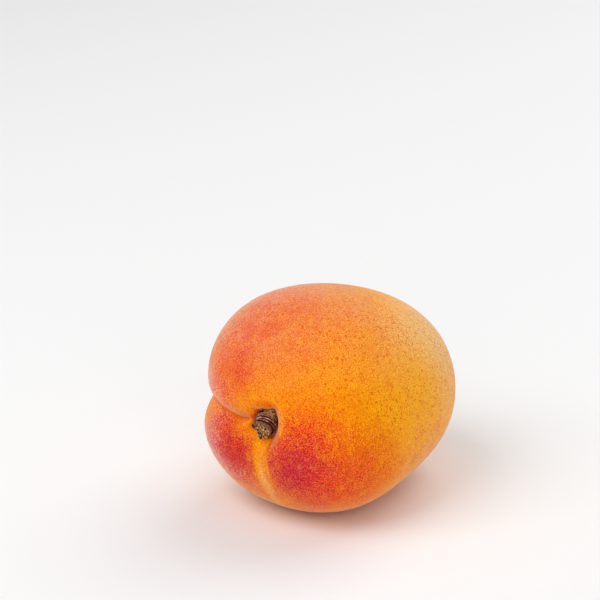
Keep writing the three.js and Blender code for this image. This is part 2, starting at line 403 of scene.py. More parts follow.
def tint(red: int, green: int, blue: int) -> Triple:
    """Turns a display colour into the linear light that the shaders use, by the sRGB curve.

    Args:
        red: Red from 0 to 255.
        green: Green from 0 to 255.
        blue: Blue from 0 to 255.

    Returns:
        The three linear parts.
    """
    def linear(part: int) -> float:
        """Turns one part linear."""
        share = part / 255
        return share / 12.92 if share <= 0.04045 else ((share + 0.055) / 1.055) ** 2.4

    return linear(red), linear(green), linear(blue)


@dataclass(frozen=True)
class Patch:
    """A soft egg-shaped patch of colour on the skin, in millimetres."""

    name: str
    centre: Triple
    reach: Triple
    colour: Triple = (0.0, 0.0, 0.0)
    strength: float = 1.0
    turn_deg: Triple = (0.0, 0.0, 0.0)
    core: float = 0.2

    def mask(self, bench: NodeBench, where: bpy.types.NodeSocket,
             fray: bpy.types.NodeSocket | None = None) -> bpy.types.NodeSocket:
        """Gives the patch's strength on the skin.

        Args:
            bench: The material's nodes.
            where: The position socket in millimetres.
            fray: A small number that moves the patch's edge in and out, or None.

        Returns:
            A number that is full within the core and 0 outside the reach.
        """
        turn = tuple(math.radians(angle) for angle in self.turn_deg)
        inputs = {"Vector": where, "Location": self.centre, "Rotation": turn, "Scale": self.reach}
        inside = bench.node("ShaderNodeMapping", inputs, vector_type="TEXTURE", label=self.name).outputs[0]
        away = bench.node("ShaderNodeVectorMath", {0: inside}, operation="LENGTH").outputs["Value"]
        if fray is not None:
            away = bench.math("ADD", away, fray)
        return bench.graded(away, self.core, 1.0, self.strength, 0.0)


def laid(bench: NodeBench, colour: object, patches: tuple[Patch, ...],
         where: bpy.types.NodeSocket) -> bpy.types.NodeSocket:
    """Lays patches over a colour, one over the other.

    Args:
        bench: The material's nodes.
        colour: The colour or socket under them.
        patches: The patches, the lowest first.
        where: The position socket in millimetres.

    Returns:
        The colour's socket.
    """
    for patch in patches:
        colour = bench.mixed(patch.mask(bench, where), colour, patch.colour)
    return colour


@dataclass(frozen=True)
class Lenticels:
    """One layer of the small dots on the skin: how far apart they are and how wide, in millimetres."""

    spacing: float
    smallest: float
    largest: float
    strength: float


@dataclass(frozen=True)
class SkinFinish:
    """The velvety skin: orange ground, golden cheek, pink and crimson blush, lenticels and fine down.

    Sizes and places are in millimetres.
    """

    wander: float = 5.0
    ground: Triple = tint(243, 138, 0)
    warm_patches: tuple[Patch, ...] = (
        Patch("golden back", (19.7, 6.2, 27.4), (21.4, 35.7, 34.5), tint(254, 167, 8),
              turn_deg=(-23, -40, 19), core=0.1),
        # Pale shoulder: partly the skin's own paler tone and partly painted sheen, the velvet's pale veil
        # under the top and back light.
        Patch("pale shoulder", (16.8, 16, 35.7), (14.3, 27.4, 23.3), tint(238, 188, 120),
              turn_deg=(-23, -13, 14), core=0.1),
        Patch("peach crown", (-1.4, -7.7, 34), (27.3, 19.5, 17.5), tint(218, 119, 106),
              turn_deg=(8, 11, 17), core=0.1),
        Patch("pink shoulder", (-10.2, -6.7, 35.8), (23.6, 18.1, 10.4), tint(246, 176, 144),
              turn_deg=(26, -4, 6), core=0.1),
        Patch("salmon brow", (-15.4, -16, 25.1), (14.1, 11.5, 7.2), tint(240, 150, 134),
              turn_deg=(3, -4, -2), core=0.1),
        # Rosy lobe: a pale lilac-pink that is painted sheen, the velvet's pale rim at the lobe's edge laid
        # into the colour.
        Patch("rosy lobe", (-9.3, -20.7, 13.1), (12.5, 10.2, 7), tint(232, 160, 160),
              turn_deg=(7, 27, -7)),
        # Tan foot: a duller, darker patch low on the near side, partly painted shade of the underside.
        Patch("tan foot", (7.9, -16, 10), (29.7, 12.6, 9), tint(213, 106, 78),
              turn_deg=(-4, -8, -21), core=0.1),
        Patch("golden cheek", (18.1, 0.7, 24.5), (14.4, 14.4, 12.8), tint(250, 166, 2),
              turn_deg=(15, 24, 0), core=0.1),
    )

    far_side: Patch = Patch("far side", (-11.1, 17.9, 12.1), (60, 60, 27),
                            turn_deg=(67.3, 0, 36.4), core=0.15)
    far_ground: Triple = tint(246, 150, 24)
    far_patches: tuple[Patch, ...] = (
        Patch("far rosy shoulder", (-15, 8, 36), (19, 22, 15), tint(238, 112, 72), 0.8, core=0.1),
        Patch("far rosy foot", (-18, 4, 8), (14, 22, 13), tint(236, 118, 46), 0.55, core=0.1),
        Patch("far golden cheek", (12, 25, 14), (20, 15, 19), tint(252, 178, 50), 0.8, core=0.1),
        Patch("far pale tip", (1, 27.8, 16.4), (8, 6, 8), tint(248, 186, 70), 0.7, core=0.1),
    )
    far_mottle_size: float = 9.0
    far_rosy: Ramp = (0.48, 0.72, 0.0, 0.5)
    far_gold: Ramp = (0.28, 0.5, 0.5, 0.0)

    valley_patches: tuple[Patch, ...] = (
        Patch("valley gold", (0.2, -22.5, 15.5), (3.4, 6, 9), tint(240, 144, 0), 0.9, (0, -9, 0)),
        # Pale ridge: partly the bank's own paler, unblushed skin and partly a painted highlight on the lit
        # bank of the groove.
        Patch("pale ridge", (2, -21.1, 9.8), (1.8, 5.7, 10.5), tint(236, 166, 94), 0.8, (-1, -5, 0)),
        # Recess roof and seam end: darker orange as painted shade under the arch over the neck and at the
        # crease's end, which also holds down the sheen's pale rim there.
        Patch("recess roof", (2.8, -22.5, 26.3), (3.6, 2.4, 1.7), tint(220, 90, 0), 0.7, core=0.3),
        Patch("seam end", (-2.4, -22.0, 22.7), (2.4, 2.2, 1.0), tint(224, 92, 0), 0.7, core=0.3),
        Patch("peach lip", (6.2, -23.2, 23.6), (1.3, 1.8, 4.4), tint(238, 146, 66), 0.7, core=0.35),
    )
    clear_valley: Patch = Patch("clear valley", (1.6, -21.5, 12.5), (2.2, 6.3, 12.9),
                                turn_deg=(-5, -9, 5), core=0.5)
    clear_lip: Patch = Patch("clear lip", (6.2, -23.2, 23.6), (1.5, 1.8, 4.4), strength=0.8, core=0.4)

    blush_patches: tuple[Patch, ...] = (
        Patch("red spot", (-6.3, -18.2, 28.9), (8.2, 6.0, 9.4), tint(224, 6, 30),
              turn_deg=(-15, 31, -16), core=0.1),
        Patch("lobe blush", (-6.4, -21.1, 14.3), (11.3, 4.8, 8.9), tint(208, 28, 38),
              turn_deg=(19, 39, -5)),
        Patch("cheek blush", (12.2, -18.6, 17.5), (12.1, 6.8, 13.1), tint(226, 20, 18),
              turn_deg=(-6, -6, 39), core=0.35),
        Patch("blush trail", (15, -13.6, 14.4), (11.7, 11.8, 10.4), tint(228, 78, 16),
              turn_deg=(-14, -16, 42), core=0.1),
        Patch("lobe crimson", (-5, -25, 14.9), (7.2, 5.4, 4.8), tint(194, 0, 32),
              turn_deg=(2, 43, -2)),
        Patch("cheek crimson", (7.8, -23.6, 14.9), (10.7, 5.7, 8.2), tint(194, 14, 54),
              turn_deg=(7, -8, 19), core=0.1),
    )
    blush_fray: Ramp = (0.0, 1.0, 0.16, -0.26)
    blush_breaks: Ramp = (0.0, 1.0, 0.88, 1.15)
    dark_fleck: Triple = tint(156, 0, 24)
    dark_flecks: Ramp = (0.5, 0.38, 0.0, 0.85)
    pale_fleck: Triple = (0.28, 0.085, 0.07)
    pale_flecks: Ramp = (0.52, 0.64)
    fleck_shift: Triple = (7.0, 3.0, 5.0)

    flush: Patch = Patch("flush", (-5, -14, 36), (20, 14, 15), tint(230, 70, 56), 0.8)
    flush_size: float = 4.5
    flush_blotches: Ramp = (0.34, 0.7, 0.14, 0.64)
    mottle_size: float = 2.2
    mottle_rosy: Triple = tint(232, 92, 4)
    mottle_gold: Triple = tint(250, 170, 6)
    rosy_mottles: Ramp = (0.5, 0.75, 0.0, 0.35)
    gold_mottles: Ramp = (0.25, 0.5, 0.3, 0.0)

    grain_size: float = 0.22
    stipple_scale: float = 1.4
    grain_detail: tuple[float, float] = (4, 0.75)
    grain_edges: Ramp = (0.36, 0.64)
    grain_dark: Triple = (0.9, 0.56, 0.3)
    grain_light: Triple = (1.08, 1.46, 1.7)

    lenticels: tuple[Lenticels, ...] = (
        Lenticels(0.9, 0.14, 0.32, 0.95), Lenticels(0.62, 0.1, 0.22, 0.9), Lenticels(2.9, 0.1, 0.38, 0.9),
    )
    lenticel_colour: Triple = tint(224, 98, 4)
    lenticel_edge: tuple[float, float] = (0.65, 1.1)
    dense_size: float = 7.0
    dense_areas: Ramp = (0.35, 0.6, 0.55, 0.95)

    tip_scar: Patch = Patch("tip scar", (1.04, 27.8, 16.4), (0.8, 1.2, 0.8), tint(92, 48, 24), 0.9,
                            core=0.35)
    # Painted shade: the skin darkens in its creases and hollows, where shade falls.
    hollow_shade: Triple = tint(214, 84, 4)
    hollows: Ramp = (0.1, 0.9, 0.0, 0.4)
    # Painted shade: the flesh turns deep orange round the stalk's root in the cavity, which also holds down
    # the sheen's pale rim on the cavity's lip.
    cavity_shade: Triple = tint(202, 58, 0)
    cavity: Ramp = (0.0, 0.6, 0.0, 0.8)
    # Painted shadow: a dark red-brown line on the flesh right against the stalk's neck.
    contact_shadow: Triple = tint(120, 30, 2)
    contact: Ramp = (0.0, 1.0, 0.0, 0.9)

    down: Triple = (0.08, 0.04, 0.008)
    down_tips: Ramp = (0.55, 1.0)
    down_size: float = 0.16
    bump: float = 0.03
    bump_strength: float = 0.5

    def material(self) -> bpy.types.Material:
        """Makes the skin's material.

        Returns:
            The material.
        """
        bench = NodeBench("apricot_skin")
        where = self.wandering(bench)
        clear = bench.rest_of(self.clear_valley.mask(bench, bench.place))
        colour = self.grounded(bench, where)
        colour = self.blushed(bench, colour, where, clear)
        colour = self.mottled(bench, colour, where)
        grain = bench.graded(bench.noise(self.grain_size, *self.grain_detail), *self.grain_edges)
        flecks = bench.mixed(grain, self.grain_dark, self.grain_light)
        colour = bench.mixed(1.0, colour, flecks, "MULTIPLY")
        colour = self.dotted(bench, colour, clear)
        colour = laid(bench, colour, (self.tip_scar,), bench.place)
        # Painted shade in the creases and hollows.
        colour = bench.toned(colour, "hollow", self.hollows, self.hollow_shade)
        # Painted shade in the cavity round the stalk.
        colour = bench.toned(colour, "near_stalk", self.cavity, self.cavity_shade)
        # Painted shadow against the stalk.
        colour = bench.toned(colour, "contact", self.contact, self.contact_shadow)
        colour = bench.mixed(bench.graded(grain, *self.down_tips), colour, self.down, "ADD")
        down = bench.bumped(bench.noise(self.down_size, roughness=0.7), self.bump, self.bump_strength)
        normal = bench.bumped(grain, self.bump, self.bump_strength, down)
        return bench.finished(colour, normal, {
            "Roughness": 0.62,
            "Specular IOR Level": 0.03,
            "Sheen Weight": 0.53,
            "Sheen Roughness": 0.3,
            "Sheen Tint": (0.97, 0.91, 0.8, 1.0),
            "Subsurface Weight": 0.2,
            "Subsurface Radius": (1.0, 0.4, 0.12),
            "Subsurface Scale": 0.0015,
        })

    def wandering(self, bench: NodeBench) -> bpy.types.NodeSocket:
        """Gives the place on the skin, moved about a little, which makes the patches' edges uneven.

        Args:
            bench: The material's nodes.

        Returns:
            The position socket in millimetres.
        """
        colour = bench.noise(self.wander, roughness=0.5, output="Color")
        around_zero = bench.vector("SUBTRACT", colour, (0.5, 0.5, 0.5))
        inputs = {0: around_zero, "Scale": self.wander}
        shift = bench.node("ShaderNodeVectorMath", inputs, operation="SCALE").outputs[0]
        return bench.vector("ADD", bench.place, shift)

    def grounded(self, bench: NodeBench, where: bpy.types.NodeSocket) -> bpy.types.NodeSocket:
        """Lays the soft areas of the near side, the far side and the valley over the ground.

        Args:
            bench: The material's nodes.
            where: The wandering place on the skin.

        Returns:
            The colour's socket.
        """
        near = laid(bench, self.ground, self.warm_patches, where)
        far = laid(bench, self.far_ground, self.far_patches, where)
        broad = bench.noise(self.far_mottle_size)
        far = bench.mixed(bench.graded(broad, *self.far_rosy), far, self.mottle_rosy)
        far = bench.mixed(bench.graded(broad, *self.far_gold), far, self.mottle_gold)
        colour = bench.mixed(self.far_side.mask(bench, where), near, far)
        return laid(bench, colour, self.valley_patches, bench.place)

    def blushed(self, bench: NodeBench, colour: bpy.types.NodeSocket, where: bpy.types.NodeSocket,
                clear: bpy.types.NodeSocket) -> bpy.types.NodeSocket:
        """Lays the blush over the ground, with frayed edges and with dark and pale flecks in it.

        Args:
            bench: The material's nodes.
            colour: The colour under it.
            where: The wandering place on the skin.
            clear: 0 in the valley, where no blush lies, and 1 elsewhere.

        Returns:
            The colour's socket.
        """
        stipple = bench.noise(self.grain_size * self.stipple_scale, *self.grain_detail)
        stipple = bench.graded(stipple, *self.grain_edges)
        fray = bench.graded(stipple, *self.blush_fray, "LINEAR")
        clear = bench.math("MULTIPLY", clear, bench.rest_of(self.clear_lip.mask(bench, bench.place)))
        broken = bench.math("MULTIPLY", clear, bench.graded(stipple, *self.blush_breaks))
        blush = 0.0
        for patch in self.blush_patches:
            amount = bench.math("MULTIPLY", patch.mask(bench, where, fray), broken)
            colour = bench.mixed(amount, colour, patch.colour)
            blush = bench.math("MAXIMUM", blush, amount)
        deep = bench.math("MULTIPLY", blush, blush)
        salt = bench.noise(self.grain_size, where=bench.vector("ADD", bench.place, self.fleck_shift))
        dark = bench.math("MULTIPLY", deep, bench.graded(salt, *self.dark_flecks))
        colour = bench.mixed(dark, colour, self.dark_fleck)
        pale = bench.math("MULTIPLY", deep, bench.graded(salt, *self.pale_flecks))
        return bench.mixed(pale, colour, self.pale_fleck, "ADD")

    def mottled(self, bench: NodeBench, colour: bpy.types.NodeSocket,
                where: bpy.types.NodeSocket) -> bpy.types.NodeSocket:
        """Breaks the colours up with pink blotches on the brow and small warm mottles all over.

        Args:
            bench: The material's nodes.
            colour: The colour under them.
            where: The wandering place on the skin.

        Returns:
            The colour's socket.
        """
        blotches = bench.noise(self.flush_size, detail=2, roughness=0.5)
        blotches = bench.graded(blotches, *self.flush_blotches)
        amount = bench.math("MULTIPLY", blotches, self.flush.mask(bench, where))
        colour = bench.mixed(amount, colour, self.flush.colour)
        mottle = bench.noise(self.mottle_size)
        colour = bench.mixed(bench.graded(mottle, *self.rosy_mottles), colour, self.mottle_rosy)
        return bench.mixed(bench.graded(mottle, *self.gold_mottles), colour, self.mottle_gold)

    def dotted(self, bench: NodeBench, colour: bpy.types.NodeSocket,
               clear: bpy.types.NodeSocket) -> bpy.types.NodeSocket:
        """Sprinkles small orange-brown lenticels over the skin, in looser and denser areas.

        Args:
            bench: The material's nodes.
            colour: The colour under them.
            clear: 0 in the valley, which has none, and 1 elsewhere.

        Returns:
            The colour's socket.
        """
        dense = bench.graded(bench.noise(self.dense_size, detail=2, roughness=0.5), *self.dense_areas)
        dense = bench.math("MULTIPLY", clear, dense)
        for layer in self.lenticels:
            dots = bench.cells(layer.spacing)
            size = bench.node("ShaderNodeSeparateColor", {0: dots.outputs["Color"]}).outputs[0]
            edge = bench.graded(size, 0, 1, layer.smallest / layer.spacing, layer.largest / layer.spacing)
            share = bench.math("DIVIDE", dots.outputs["Distance"], edge)
            dot = bench.graded(share, *self.lenticel_edge, layer.strength, 0.0)
            dot = bench.math("MULTIPLY", dense, dot)
            colour = bench.mixed(dot, colour, self.lenticel_colour, "DARKEN")
        return colour


@dataclass(frozen=True)
class WoodFinish:
    """Dry olive-tan wood of the stalk: pale neck, brightened in part as painted light, bark round the end
    and dark tips, with painted shade on the foot and in the pits and painted highlights on the crests.

    Sizes are in millimetres.
    """

    # The neck's pale tan is partly its own colour and partly painted light, brightened against the shade of
    # the cavity round it.
    neck: Triple = tint(250, 214, 132)
    light: Triple = tint(178, 134, 84)
    mid: Triple = tint(122, 86, 48)
    bark: Triple = tint(138, 72, 56)
    tip: Triple = tint(52, 14, 30)
    # Painted shade in the torn face's pits.
    pit_shade: Triple = tint(40, 16, 8)
    # Painted shade: the stalk's foot darkens where it goes into the cavity.
    foot: Triple = tint(120, 34, 4)
    fibre_size: float = 0.24
    fibre_detail: tuple[float, float] = (4, 0.65)
    fibre_stretch: float = 3.5
    fibres: Ramp = (0.38, 0.62)
    neck_fibres: Ramp = (0.35, 0.6, 0.35, 0.0)
    foot_shade: Ramp = (0.0, 1.0, 0.0, 0.9)
    bark_cracks: Ramp = (0.42, 0.62, 1.0, 0.3)
    crest_highlights: Ramp = (0.3, 1.0, 0.0, 0.8)
    tips: Ramp = (0.1, 0.9, 0.0, 0.95)
    pits: Ramp = (0.1, 0.7, 0.0, 0.95)
    bump: float = 0.08
    bump_strength: float = 0.7

    def material(self, axes: Matrix) -> bpy.types.Material:
        """Makes the stalk's material.

        Args:
            axes: The stalk's own axes, with Z along it.

        Returns:
            The material.
        """
        bench = NodeBench("stalk_wood")
        place = tuple(part / MM for part in axes.translation)
        inputs = {"Vector": bench.place, "Location": place, "Rotation": tuple(axes.to_euler()),
                  "Scale": (1, 1, self.fibre_stretch)}
        along = bench.node("ShaderNodeMapping", inputs, vector_type="TEXTURE").outputs[0]
        fibre = bench.noise(self.fibre_size, *self.fibre_detail, along)
        colour = bench.mixed(bench.graded(fibre, *self.fibres), self.mid, self.light)
        necks = bench.mixed(bench.graded(fibre, *self.neck_fibres), self.neck, self.mid)
        colour = bench.mixed(bench.kept("neck"), colour, necks)
        # Painted shade on the foot.
        colour = bench.toned(colour, "foot", self.foot_shade, self.foot)
        barked = bench.math("MULTIPLY", bench.kept("bark"), bench.graded(fibre, *self.bark_cracks))
        colour = bench.mixed(barked, colour, self.bark)
        # Painted highlight: the torn face's crests are lightened to the neck's pale tan.
        colour = bench.toned(colour, "crest", self.crest_highlights, self.neck)
        colour = bench.toned(colour, "tip", self.tips, self.tip)
        # Painted shade in the pits.
        colour = bench.toned(colour, "hollow", self.pits, self.pit_shade)
        normal = bench.bumped(fibre, self.bump, self.bump_strength)
        return bench.finished(colour, normal, {"Roughness": 0.75, "Specular IOR Level": 0.3})


@dataclass(frozen=True)
class BarkFinish:
    """Purple-brown bark of the bud scales, with painted shade in the grooves and a painted highlight in
    patches along each lip. Sizes are in millimetres.
    """

    # Painted shade: dark grooves between the rings, where shade falls.
    groove_shade: Triple = tint(58, 8, 2)
    mauve: Triple = tint(126, 66, 64)
    brown: Triple = tint(78, 34, 28)
    # Painted highlight along the lips.
    lip: Triple = tint(222, 172, 130)
    patch_size: float = 0.35
    mauve_patches: Ramp = (0.38, 0.62)
    grooves: Ramp = (0.25, 0.7, 1.0, 0.0)
    lips: Ramp = (0.76, 1.0)
    lip_highlight_patches: Ramp = (0.36, 0.56, 0.25, 1.0)
    bump_size: float = 0.15
    bump: float = 0.04
    bump_strength: float = 0.6

    def material(self) -> bpy.types.Material:
        """Makes the bud scales' material.

        Returns:
            The material.
        """
        bench = NodeBench("scale_bark")
        patchy = bench.noise(self.patch_size)
        colour = bench.mixed(bench.graded(patchy, *self.mauve_patches), self.brown, self.mauve)
        # Painted shade in the grooves.
        colour = bench.toned(colour, "lip", self.grooves, self.groove_shade)
        # Painted highlight in patches along each lip.
        edge = bench.graded(bench.kept("lip"), *self.lips)
        lip_highlight = bench.math("MULTIPLY", edge, bench.graded(patchy, *self.lip_highlight_patches))
        colour = bench.mixed(lip_highlight, colour, self.lip)
        normal = bench.bumped(bench.noise(self.bump_size), self.bump, self.bump_strength)
        return bench.finished(colour, normal, {"Roughness": 0.6, "Specular IOR Level": 0.2})


# ---- Pieces ----


def handed_over(piece: bpy.types.Object, node: Node,
                finish: bpy.types.Material) -> bpy.types.Object:
    """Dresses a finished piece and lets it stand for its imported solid.

    Args:
        piece: The finished mesh object.
        node: The solid that it stands for.
        finish: Its material.

    Returns:
        The piece.
    """
    piece.data.materials.clear()
    piece.data.materials.append(finish)
    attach(piece, BODY)
    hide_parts(node.value)
    return piece


@dataclass
class StalkPlace:
    """Where the stalk stands: its root on the cavity floor and the way it points, in millimetres."""

    root_mm: Triple = (0.740, -18.715, 23.226)
    towards: Triple = (0.1832, -0.8671, -0.4632)
    across: Triple = (0.8227, 0.3932, -0.4107)

    def axes(self) -> Matrix:
        """Gives the stalk's own axes: Z along it, X across it.

        Returns:
            A matrix in metres.
        """
        along = Vector(self.towards).normalized()
        side = along.cross(Vector(self.across)).normalized()
        axes = Matrix((side.cross(along), side, along)).transposed().to_4x4()
        axes.translation = Vector(self.root_mm) * MM
        return axes

    def cylinder_coordinates(self, points: np.ndarray) -> tuple[np.ndarray, np.ndarray]:
        """Gives each point's distance from the stalk's axis and its height along it.

        Args:
            points: Rows of x, y, z in metres.

        Returns:
            Distances and heights in metres.
        """
        along = np.array(Vector(self.towards).normalized())
        apart = points - np.array(self.root_mm) * MM
        height = apart @ along
        return np.linalg.norm(apart - np.outer(height, along), axis=1), height


@dataclass(frozen=True)
class Knead:
    """One soft push on the flesh, in millimetres: the skin near a place moves, less and less round it."""

    name: str
    centre: Triple
    reach: float
    push: Triple

    def apply(self, piece: bpy.types.Object) -> None:
        """Pushes the skin with proportional editing.

        Args:
            piece: The skin's object.
        """
        log.debug("%s: %s", piece.name, self.name)
        apart = np.linalg.norm(points_of(piece) - np.array(self.centre) * MM, axis=1)
        nearest = apart <= apart.min()
        pick(piece, lambda points: nearest)
        with editing(piece):
            bpy.ops.transform.translate(
                value=tuple(part * MM for part in self.push), use_proportional_edit=True,
                proportional_edit_falloff="SMOOTH", proportional_size=self.reach * MM)


@dataclass
class Fruit:
    """The fruit's skin, a finer and slightly uneven copy of the fruit's solid."""

    stalk: StalkPlace
    finish: SkinFinish = field(default_factory=SkinFinish)
    levels: int = 2
    healed_radius_mm: float = 3.2
    healed_height_mm: float = 4.5
    healed_rounds: int = 5
    kneads: tuple[Knead, ...] = (
        Knead("crease end", (-1.3, -20.6, 23.0), 2.6, (0.16, -0.75, -0.4)),
        Knead("arch over the neck", (2.4, -22.2, 26.0), 1.9, (0.07, -0.16, -0.62)),
        Knead("cheek beside the neck", (4.7, -22.7, 26.0), 1.6, (0.3, 0.2, 0.0)),
    )
    uneven_mm: float = 0.12
    uneven_size_mm: float = 5.0
    pebble_mm: float = 0.025
    pebble_size_mm: float = 0.9
    hollow_rounds: int = 6
    hollow_mm: float = 0.02
    # Where the cavity's painted shade and the painted shadow against the stalk fade out.
    cavity_fade_mm: Rise = (3.6, -1.7)
    contact_fade_mm: Rise = (2.55, -0.6)
    contact_middle_mm: float = 0.4
    contact_half_mm: float = 1.6

    def build(self) -> bpy.types.Object:
        """Builds and dresses the skin.

        Returns:
            The skin's object.
        """
        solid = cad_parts[Node.FRUIT.value]
        piece = bpy.data.objects.new("apricot_skin", solid.data.copy())
        bpy.context.scene.collection.objects.link(piece)
        with editing(piece):
            bpy.ops.mesh.select_all(action="SELECT")
            bpy.ops.mesh.remove_doubles(threshold=WELD)
            bpy.ops.mesh.tris_convert_to_quads()
        self.heal_round_the_stalk(piece)
        subdivided(piece, self.levels)
        for knead in self.kneads:
            knead.apply(piece)
        roughened(piece, self.uneven_size_mm * MM, self.uneven_mm * MM)
        roughened(piece, self.pebble_size_mm * MM, self.pebble_mm * MM)
        self.press_flat(piece)
        self.mark_the_parts(piece)
        smooth_shaded(piece)
        return handed_over(piece, Node.FRUIT, self.finish.material())

    def heal_round_the_stalk(self, piece: bpy.types.Object) -> None:
        """Lets the flesh close softly round the stalk, where the solid is cut away for it.

        Args:
            piece: The skin's object.
        """
        def close_to_the_stalk(points: np.ndarray) -> np.ndarray:
            """True for points that the cut has touched."""
            apart, height = self.stalk.cylinder_coordinates(points)
            return (apart < self.healed_radius_mm * MM) & (abs(height) < self.healed_height_mm * MM)

        pick(piece, close_to_the_stalk)
        with editing(piece):
            bpy.ops.mesh.vertices_smooth(factor=0.5, repeat=self.healed_rounds)

    def press_flat(self, piece: bpy.types.Object) -> None:
        """Keeps the skin from sinking under the ground where the fruit rests."""
        points = points_of(piece)
        points[:, 2] = np.maximum(points[:, 2], 0.0)
        put_points(piece, points)

    def mark_the_parts(self, piece: bpy.types.Object) -> None:
        """Keeps, for the finish, which points lie in a hollow, near the stalk or against it, where the
        finish paints shade.

        Args:
            piece: The skin's object.
        """
        store(piece, "hollow", hollowness(piece, self.hollow_rounds, self.hollow_mm * MM))
        apart, height = self.stalk.cylinder_coordinates(points_of(piece))
        beside = abs(height) < self.healed_height_mm * MM
        # Both masks carry painted shade: the cavity round the stalk and the shadow line against it.
        store(piece, "near_stalk", beside * rising(apart / MM, *self.cavity_fade_mm))
        against = abs(height - self.contact_middle_mm * MM) < self.contact_half_mm * MM
        store(piece, "contact", against * rising(apart / MM, *self.contact_fade_mm))


def hollowness(piece: bpy.types.Object, rounds: int, full: float) -> np.ndarray:
    """Measures how much each point of a mesh lies in a hollow.

    Args:
        piece: The mesh object.
        rounds: How often the measure is averaged over neighbours.
        full: How far a point lies under its neighbours where the measure is 1, in metres. Below 0 it
            measures how much each point stands out.

    Returns:
        One number from 0 to 1 for each point.
    """
    mesh = piece.data
    points = points_of(piece)
    pairs = np.empty(len(mesh.edges) * 2, int)
    mesh.edges.foreach_get("vertices", pairs)
    first, second = pairs.reshape(-1, 2).T
    count = np.bincount(np.concatenate((first, second)), minlength=len(points))[:, None]

    def averaged(values: np.ndarray) -> np.ndarray:
        """Gives the mean of each point's neighbours."""
        total = np.zeros_like(values)
        np.add.at(total, first, values[second])
        np.add.at(total, second, values[first])
        return total / np.maximum(count, 1)

    smoothed = points
    for _ in range(rounds):
        smoothed = averaged(smoothed)
    under = ((smoothed - points) * normals_of(piece)).sum(1)
    return rising(under, 0, full)


